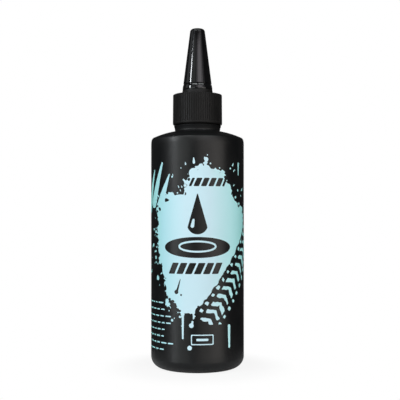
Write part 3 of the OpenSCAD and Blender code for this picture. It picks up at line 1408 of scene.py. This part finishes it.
@dataclass(frozen=True)
class Plate:
    """A bar with rounded corners."""

    centre: Point
    half: Point
    corner: float

    def __call__(self, u: Array, z: Array) -> Array:
        """Measures places against the bar.

        Args:
            u: Length round the wall of each place.
            z: Height of each place.

        Returns:
            The distance to the bar, negative inside it.
        """
        x = np.abs(u - self.centre[0]) - self.half[0] + self.corner
        y = np.abs(z - self.centre[1]) - self.half[1] + self.corner
        return np.hypot(np.maximum(x, 0), np.maximum(y, 0)) + np.minimum(np.maximum(x, y), 0) - self.corner


@dataclass(frozen=True)
class Oval:
    """An upright oval, such as a puddle seen from the side."""

    centre: Point
    half: Point

    def __call__(self, u: Array, z: Array) -> Array:
        """Measures places against the oval.

        Args:
            u: Length round the wall of each place.
            z: Height of each place.

        Returns:
            The distance to the oval, negative inside it.
        """
        x, y = (u - self.centre[0]) / self.half[0], (z - self.centre[1]) / self.half[1]
        size = np.hypot(x, y)
        steep = np.hypot(x / self.half[0], y / self.half[1]) / np.maximum(size, TINY)
        return (size - 1) / np.maximum(steep, TINY)


@dataclass(frozen=True)
class Slats:
    """A row of slanted blocks in a bar."""

    centre: Point
    half: Point
    pitch: float
    gap: float
    lean: float = 0.45

    def __call__(self, u: Array, z: Array) -> Array:
        """Measures places against the blocks.

        Args:
            u: Length round the wall of each place.
            z: Height of each place.

        Returns:
            The distance to the nearest block, negative inside it.
        """
        across, up = u - self.centre[0], z - self.centre[1]
        place = np.mod(across - self.lean * up, self.pitch)
        slats = (np.abs(place - self.pitch / 2) - (self.pitch - self.gap) / 2) / math.hypot(1, self.lean)
        ends = np.abs(across - self.lean * up) - self.half[0]
        return np.maximum(np.maximum(slats, ends), np.abs(up) - self.half[1])


@dataclass(frozen=True)
class Tread:
    """The track of a tyre: chevrons in the middle, and a lug beside each end of them."""

    start: Point
    end: Point
    band: float = 6.6
    chevron: float = 3.4
    lugs: Point = (4.5, 5.8)
    lug_share: float = 0.8
    pitch: float = 4.1
    gap: float = 2.35
    lean: float = 0.6

    def strip(self, u: Array, z: Array) -> Array:
        """Measures places against the strip that the track lies in.

        Args:
            u: Length round the wall of each place.
            z: Height of each place.

        Returns:
            The distance to the strip, negative inside it.
        """
        along, off, length = track(self.start, self.end, u, z)
        return np.maximum(off - self.band, np.abs(along - length / 2) - length / 2)

    def __call__(self, u: Array, z: Array) -> Array:
        """Measures places against the blocks of the track.

        Args:
            u: Length round the wall of each place.
            z: Height of each place.

        Returns:
            The distance to the nearest block, negative inside it.
        """
        along, off, length = track(self.start, self.end, u, z)
        half = (self.pitch - self.gap) / 2
        bent = np.abs(np.mod(along + self.lean * off, self.pitch) - self.pitch / 2) - half
        level = np.abs(np.mod(along - self.pitch / 4, self.pitch) - self.pitch / 2) - half * self.lug_share
        middle = np.maximum(bent / math.hypot(1, self.lean), off - self.chevron)
        side = np.maximum(level, np.abs(off - sum(self.lugs) / 2) - (self.lugs[1] - self.lugs[0]) / 2)
        return np.maximum(np.minimum(middle, side), np.abs(along - length / 2) - length / 2)


@dataclass(frozen=True)
class Grain:
    """Smooth random heights between -1 and 1."""

    size: float
    seed: int
    count: int = 97

    def __call__(self, u: Array, z: Array) -> Array:
        """Works out the height at each place.

        Args:
            u: Length round the wall of each place.
            z: Height of each place.

        Returns:
            The heights.
        """
        heights = np.random.default_rng(self.seed).uniform(-1, 1, (self.count, self.count))
        x, y = u / self.size, z / self.size
        i, j = np.floor(x).astype(int), np.floor(y).astype(int)
        s, t = ease(x - i), ease(y - j)
        here, right = i % self.count, (i + 1) % self.count
        low, high = (
            heights[here, row] * (1 - s) + heights[right, row] * s
            for row in (j % self.count, (j + 1) % self.count)
        )
        return low * (1 - t) + high * t


def merged(one: Array, other: Array, soft: float) -> Array:
    """Distance to two shapes together, which flow into each other over a soft distance."""
    near = np.maximum(soft - np.abs(one - other), 0) / max(soft, TINY)
    return np.minimum(one, other) - near ** 2 * soft / 4


def union(shapes: Sequence[Field], soft: float = 0) -> Field:
    """Several shapes as one, which flow into each other over a soft distance."""
    return lambda u, z: reduce(lambda a, b: merged(a, b, soft), (shape(u, z) for shape in shapes))


def without(shape: Field, hole: Field) -> Field:
    """A shape with another one cut out of it."""
    return lambda u, z: np.maximum(shape(u, z), -hole(u, z))


def frayed(shape: Field, grain: Grain, depth: float) -> Field:
    """A shape whose edge is worn ragged to a depth."""
    return lambda u, z: shape(u, z) + depth * grain(u, z)


def line(shape: Field, width: float) -> Field:
    """The outline of a shape, as a line of its own width."""
    return lambda u, z: np.abs(shape(u, z)) - width / 2


@dataclass
class Print:
    """The print on the wall, as one film of ink.

    A place on it is its length round the wall from the front, and its height. A blot is a
    place and a radius, and blots together make the body of the splash.
    """

    cad: CadSizes
    wall_r: float
    sink: float = 0.03
    cell: float = 0.34
    least_share: float = 0.03
    reach: float = 36.5
    low: float = 8
    high: float = 97
    seed: int = 11
    blots: tuple[Corner, ...] = (
        (-7, 64, 13.5), (8, 62, 17), (-11.5, 61, 9), (15, 64, 11), (4.5, 79, 10), (-5, 48, 12),
        (-4, 38, 9), (-4.5, 31.5, 5.5), (17, 57, 9), (7, 42, 11), (-14, 68.5, 6), (10.5, 74, 6.5),
        (-15.5, 56, 4.5), (21, 67, 6), (-12, 47, 5), (-12.5, 38, 3.6),
    )
    ragged: float = 1.6
    spiky: float = 1.5
    fine: float = 0.3
    pool_soft: float = 1.5
    drip_soft: float = 0.6
    wet_soft: float = 1.2
    dash_rows: int = 8
    dash_from: Point = (-31, 30.4)
    dash_to: Point = (-18, -12)
    dash_l: Point = (1.2, 3.6)
    dash_h: float = 0.56
    dash_gap: float = 0.8
    dash_pitch: float = 2.9
    box: Point = (2.1, 15.1)
    box_edge: float = 0.2
    drops: int = 80
    drop_r: Point = (0.3, 1.05)
    drop_away: Point = (1.5, 9.5)
    drop_gap: float = 0.4
    drop_zone: tuple[Point, Point] = ((-31, 19), (31, 95))
    thrown_from: float = 60
    round_share: float = 0.6
    tail_l: float = 2.4
    tail_r: Point = (0.7, 0.25)
    tread: Tread = Tread((4, 22), (35, 62.7))
    tread_low: float = 21.5
    tread_gap: float = 0.5
    tread_wear: float = 0.35
    strip_wear: float = 0.5

    def pool(self) -> Field:
        """The big splash, whose edge is ragged and spiky.

        Returns:
            Its shape.
        """
        body = union([
            *(Disc((u, z), r) for u, z, r in self.blots), Stroke((7, 80), (3.5, 90), 4, 1.2),
            Stroke((20, 60), (31, 57), 5, 1), Stroke((-15, 50), (-20, 47), 2.4, 0.5),
        ], self.pool_soft)
        coarse, middle, fine = Grain(3.1, 5), Grain(1.25, 6), Grain(0.7, 7)

        def distance(u: Array, z: Array) -> Array:
            """Distance to the splash, negative inside it."""
            spikes = self.spiky * (0.5 - np.abs(middle(u, z))) + self.fine * fine(u, z)
            return body(u, z) + self.ragged * coarse(u, z) - spikes
        return distance

    def drips(self) -> Field:
        """Runs below the splash, and loose streaks beside it.

        Returns:
            Their shape.
        """
        return union([
            Stroke((-6.4, 32), (-6.4, 15.6), 0.6, 0.36), Stroke((-1.6, 30), (-1.6, 24.5), 0.7, 0.35),
            Stroke((14.9, 20.5), (15, 11.4), 0.72, 0.5), Stroke((-24, 74), (-17.3, 91), 2.4, 0.5),
            Stroke((-18.2, 74), (-13, 86), 2.1, 0.3), Stroke((-30, 71.5), (-23.6, 88), 2.2, 0.5),
            Stroke((21.5, 91), (21.3, 86), 0.55, 0.25),
        ], self.drip_soft)

    def bare(self) -> Field:
        """Motifs left bare: a drop over a puddle, a comet, rows of slanted blocks and the tread's strip.

        Returns:
            Their shape.
        """
        drop = without(Stroke((0, 64.8), (0, 78), 4.6, 0.05), Stroke((-2.2, 63.8), (-1.7, 66.4), 0.8, 0.5))
        puddle = without(Oval((0, 54.6), (15.5, 4.5)), line(Oval((0, 55), (8, 2.2)), 0.8))
        return union([
            drop,
            puddle,
            Disc((-9.4, 35.4), 0.95),
            Stroke((-8.9, 36.4), (-7.4, 41.4), 0.5, 0.12),
            Disc((-7.2, 34.2), 0.45),
            Slats((5, 82.6), (8, 1.8), 3.2, 0.8),
            Slats((-1, 45.6), (11.7, 2.4), 3.9, 0.9),
            frayed(self.tread.strip, Grain(1.4, 9), self.strip_wear),
        ])

    def lines(self) -> Field:
        """Rows of short thin dashes at the left, and an empty frame with a bar in it.

        Returns:
            Their shape.
        """
        rng = np.random.default_rng(self.seed)
        dashes = []
        for row in range(self.dash_rows):
            u, z = self.dash_from[0], self.dash_from[1] - self.dash_pitch * row
            end = self.dash_to[0] + (self.dash_to[1] - self.dash_to[0]) * rng.random()
            while u < end:
                length = self.dash_l[0] + (self.dash_l[1] - self.dash_l[0]) * rng.random()
                dashes.append(Plate((u + length / 2, z), (length / 2, self.dash_h / 2), 0.2))
                u += length + self.dash_gap
        rim = line(Plate(self.box, (4.7, 2), self.box_edge), 0.45)
        return union([*dashes, rim, Plate(self.box, (2.6, 0.5), self.box_edge)])

    def droplets(self, pool: Field) -> Field:
        """Round and drawn-out droplets thrown from the splash.

        Args:
            pool: Shape of the splash.

        Returns:
            The droplets' shape.
        """
        rng = np.random.default_rng(self.seed)
        (left, low), (right, high) = self.drop_zone
        spots: list[Field] = [Disc((-1.6, 86.5), 2.1), Disc((-3.4, 11.6), 1.0)]
        while len(spots) < self.drops:
            u, z = rng.uniform(left, right), rng.uniform(low, high)
            size = self.drop_r[0] + (self.drop_r[1] - self.drop_r[0]) * rng.random() ** 3
            away = float(pool(np.array([u]), np.array([z]))[0])
            if away <= size + self.drop_gap:
                continue
            far = self.drop_away[0] + (self.drop_away[1] - self.drop_away[0]) * rng.random() ** 2
            if away >= far or self.tread.strip(u, z) < size + self.tread_gap:
                continue
            if rng.random() < self.round_share:
                spots.append(Disc((u, z), size))
            else:
                aim, tail = math.atan2(z - self.thrown_from, u), self.tail_l * size
                end = (u + tail * math.cos(aim), z + tail * math.sin(aim))
                spots.append(Stroke((u, z), end, size * self.tail_r[0], size * self.tail_r[1]))
        return union(spots)

    def inked(self) -> Field:
        """The whole print.

        Returns:
            Its shape.
        """
        pool = self.pool()
        wet = union([pool, self.drips()], self.wet_soft)
        worn = frayed(self.tread, Grain(1.1, 8), self.tread_wear)
        tread = without(worn, lambda u, z: z - self.tread_low)
        return union([without(wet, self.bare()), self.lines(), self.droplets(pool), tread])

    def flat(self) -> tuple[Array, list[tuple[int, ...]]]:
        """Traces the print on a grid.

        Returns:
            The points (length round the wall, height), and the faces.
        """
        us = np.arange(-self.reach, self.reach, self.cell)
        zs = np.arange(self.low, self.high, self.cell)
        values = self.inked()(*np.meshgrid(us, zs, indexing="ij"))
        numbers: dict[tuple, int] = {}
        points: list[Point] = []

        def number(key: tuple, place: Point) -> int:
            """Gives a point its number.

            Args:
                key: The grid corner, or the two corners that the point lies between.
                place: Where it lies.

            Returns:
                Its number, the same each time for the same key.
            """
            if key not in numbers:
                numbers[key] = len(points)
                points.append(place)
            return numbers[key]

        faces = []
        inside = values < 0
        touched = inside[:-1, :-1] | inside[1:, :-1] | inside[1:, 1:] | inside[:-1, 1:]
        for i, j in zip(*np.nonzero(touched)):
            face = []
            for a, b in pairs([(i, j), (i + 1, j), (i + 1, j + 1), (i, j + 1)]):
                start, end = (us[a[0]], zs[a[1]]), (us[b[0]], zs[b[1]])
                if inside[a]:
                    face.append(number(a, start))
                if inside[a] != inside[b]:
                    share = values[a] / (values[a] - values[b])
                    share = float(np.clip(share, self.least_share, 1 - self.least_share))
                    place = (start[0] + (end[0] - start[0]) * share, start[1] + (end[1] - start[1]) * share)
                    face.append(number((*min(a, b), *max(a, b)), place))
            faces.append(tuple(face))
        return np.array(points), faces

    def build(self) -> bpy.types.Object:
        """Builds the film, wrapped round the wall and sunk a little into it.

        Returns:
            The piece.
        """
        flat, faces = self.flat()
        angles = flat[:, 0] / self.cad.body_r
        skin = Skin()
        for r in (self.cad.body_r, self.wall_r - self.sink):
            skin.add(np.column_stack((r * np.sin(angles), -r * np.cos(angles), flat[:, 1])))
        count = len(flat)
        sides = dict.fromkeys(side for face in faces for side in pairs(face))
        skin.faces += faces
        skin.faces += [tuple(n + count for n in reversed(face)) for face in faces]
        skin.faces += [(b, a, a + count, b + count) for a, b in sides if (b, a) not in sides]
        return dress(skin.mesh("ink_film"), Ink().material(), Body.BOTTLE)


@dataclass(frozen=True)
class Lamp:
    """A soft lamp that faces the bottle's axis, level with the place that it lights.

    Its azimuth goes from the viewer's side to the right, height is its height over the floor,
    and a brightness of 1 is that of white paper in full light.
    """

    name: str
    azimuth: float
    distance: float
    height: float
    size: Point
    brightness: float
    tint: Tint

    def build(self) -> None:
        """Makes the lamp."""
        data = bpy.data.lights.new(self.name, "AREA")
        data.shape = "RECTANGLE"
        data.size, data.size_y = self.size[0] * MM, self.size[1] * MM
        data.energy = self.brightness * math.pi * data.size * data.size_y
        data.color = self.tint.value
        lamp = bpy.data.objects.new(self.name, data)
        bpy.context.scene.collection.objects.link(lamp)
        a = math.radians(self.azimuth)
        place = Vector((math.sin(a) * self.distance, -math.cos(a) * self.distance, self.height))
        lamp.location = place * MM
        lamp.rotation_mode = "QUATERNION"
        lamp.rotation_quaternion = (Vector((0, 0, self.height)) - place).to_track_quat("-Z", "Y")
        lamp.visible_camera = False


@dataclass(frozen=True)
class Camera:
    """The photograph's camera: level, straight in front of the bottle."""

    distance: float = 364.5
    eye_z: float = 67.2
    lens: float = 72.4
    image_px: float = 400
    axis_px: float = 197.5
    horizon_px: float = 218

    def build(self) -> None:
        """Makes the camera and gives it to the scene."""
        data = bpy.data.cameras.new("camera")
        data.lens = self.lens
        data.shift_x = (self.image_px / 2 - self.axis_px) / self.image_px
        data.shift_y = (self.horizon_px - self.image_px / 2) / self.image_px
        camera = bpy.data.objects.new("camera", data)
        camera.location = (0, -self.distance * MM, self.eye_z * MM)
        camera.rotation_euler = (math.pi / 2, 0, 0)
        bpy.context.scene.collection.objects.link(camera)
        bpy.context.scene.camera = camera


@dataclass
class Studio:
    """A round pale floor, a white surround and soft lamps.

    The surround is dim, with a white wall where a ray goes backwards by more than wall_side
    and upwards by less than wall_top, both as parts of a ray of length 1.
    """

    floor_r: float = 50
    floor_edge: float = 1
    floor_columns: int = 128
    floor_colour: Colour = (0.86, 0.86, 0.86)
    floor_rough: float = 0.9
    floor_behind: float = 44
    white_share: float = 0.88
    white_zone: Point = (24, 47.5)
    dim: float = 0.04
    wall_top: float = 0.2
    wall_side: float = 0.96
    lamps: tuple[Lamp, ...] = (
        Lamp("left_strip_base", -57, 600, -88, (80, 105), 4, Tint.COOL),
        Lamp("left_strip_low", -58, 600, 78, (73, 345), 6, Tint.COOL),
        Lamp("left_strip", -61, 600, 328, (60, 156), 40, Tint.COOL),
        Lamp("left_strip_end", -55, 600, 420, (52, 54), 2.5, Tint.ICE),
        Lamp("left_strip_top", -57, 600, 760, (90, 200), 9, Tint.COOL),
        Lamp("left_fill_low", -36, 640, 64, (416, 393), 1.33, Tint.MINT),
        Lamp("left_fill", -36, 640, 365, (440, 210), 0.5, Tint.MINT),
        Lamp("left_side", -89, 600, 362, (330, 225), 0.5, Tint.COOL),
        Lamp("middle_fill", -6, 690, 385, (145, 226), 0.8, Tint.ROSE),
        Lamp("left_top", -24, 650, 700, (520, 260), 6.5, Tint.AQUA),
        Lamp("right_fill_low", 20, 650, 50, (397, 425), 1.2, Tint.WARM),
        Lamp("right_side_low", 50, 650, 50, (348, 425), 2.3, Tint.WARM),
        Lamp("right_top", 32, 650, 700, (560, 260), 5.2, Tint.AQUA),
        Lamp("front_left", 8, 700, 389, (172, 230), 2.05, Tint.ROSE),
        Lamp("front_middle", 24, 700, 389, (222, 230), 2.3, Tint.ROSE),
        Lamp("front_right", 40, 700, 389, (172, 230), 1.4, Tint.ROSE),
        Lamp("front_side", 55, 700, 389, (172, 230), 0.35, Tint.ROSE),
    )

    def white_rays(self, g: Graph, mask: Socket) -> Socket:
        """A value that is 1 for the rays that see the white surround, and 0 for the light on the object.

        Args:
            g: The nodes that the value is for.
            mask: 1 where glossy and transmitted rays see the surround, and 0 elsewhere.

        Returns:
            The value.
        """
        rays = g.node("ShaderNodeLightPath").outputs
        mirrored = g.combine("MAXIMUM", rays["Is Glossy Ray"], rays["Is Transmission Ray"])
        return g.combine("MAXIMUM", rays["Is Camera Ray"], g.combine("MULTIPLY", mirrored, mask))

    def surround(self) -> None:
        """Lights the world dimly, with a white wall behind the object."""
        world = bpy.data.worlds.new("studio")
        bpy.context.scene.world = world
        g = Graph(world)
        _, back, up = g.axes()
        low = g.combine("LESS_THAN", up, self.wall_top)
        wall = g.combine("MULTIPLY", g.combine("GREATER_THAN", back, self.wall_side), low)
        strength = g.between(self.white_rays(g, wall), (self.dim, 1), (0, 1))
        g.set(color=(1, 1, 1, 1), strength=strength)

    def floor_finish(self) -> bpy.types.Material:
        """Builds the floor's finish, which turns white towards its edge for the rays that see white.

        Returns:
            The material.
        """
        g = Graph(bpy.data.materials.new("pale_floor"))
        g.set(base_color=(*self.floor_colour, 1), roughness=self.floor_rough, specular_ior_level=0)
        away = g.node("ShaderNodeVectorMath", operation="LENGTH")
        g.link(g.place, away.inputs[0])
        zone = (self.white_zone[0] * MM, self.white_zone[1] * MM)
        fade = g.between(away.outputs["Value"], (self.white_share, 1), zone, "SMOOTHSTEP")
        behind = g.combine("GREATER_THAN", g.axes()[1], self.floor_behind * MM)
        mix = g.node("ShaderNodeMixShader")
        white = g.node("ShaderNodeEmission")
        g.link(g.combine("MULTIPLY", self.white_rays(g, behind), fade), mix.inputs["Fac"])
        g.link(g.shader.outputs["BSDF"], mix.inputs[1])
        g.link(white.outputs["Emission"], mix.inputs[2])
        g.link(mix.outputs["Shader"], g.owner.node_tree.nodes["Material Output"].inputs["Surface"])
        return g.owner

    def floor(self) -> None:
        """Makes the floor, a disc with a rounded edge."""
        foot = -2 * self.floor_edge
        outline = rounded([
            (0, 0, 0),
            (self.floor_r, 0, self.floor_edge),
            (self.floor_r, foot, self.floor_edge),
            (0, foot, 0),
        ])
        skin = Skin()
        skin.lathe(outline, around(self.floor_columns))
        mesh = skin.mesh("floor")
        mesh.materials.append(self.floor_finish())
        floor = bpy.data.objects.new("floor", mesh)
        bpy.context.scene.collection.objects.link(floor)

    def build(self) -> None:
        """Builds the stage and its lamps, and sets how colours are shown."""
        bpy.context.scene.view_settings.view_transform = "Standard"
        self.surround()
        self.floor()
        for lamp in self.lamps:
            lamp.build()


def main() -> None:
    """Builds the camera, the pieces and the studio, and reports each piece."""
    logging.basicConfig(level=logging.INFO, format="%(name)s: %(message)s")
    cad = CadSizes.measured(frame)
    thread = Thread()
    bottle, closure = Bottle(cad, thread), Closure(cad, thread)
    Camera().build()
    for part in (bottle, Print(cad, bottle.wall_r), closure, Washer(cad), Overcap(cad, closure)):
        piece = part.build()
        triangles = sum(len(face.vertices) - 2 for face in piece.data.polygons)
        log.info("%s: %d triangles", piece.name, triangles)
    Studio().build()


if __name__ == "__main__":
    main()
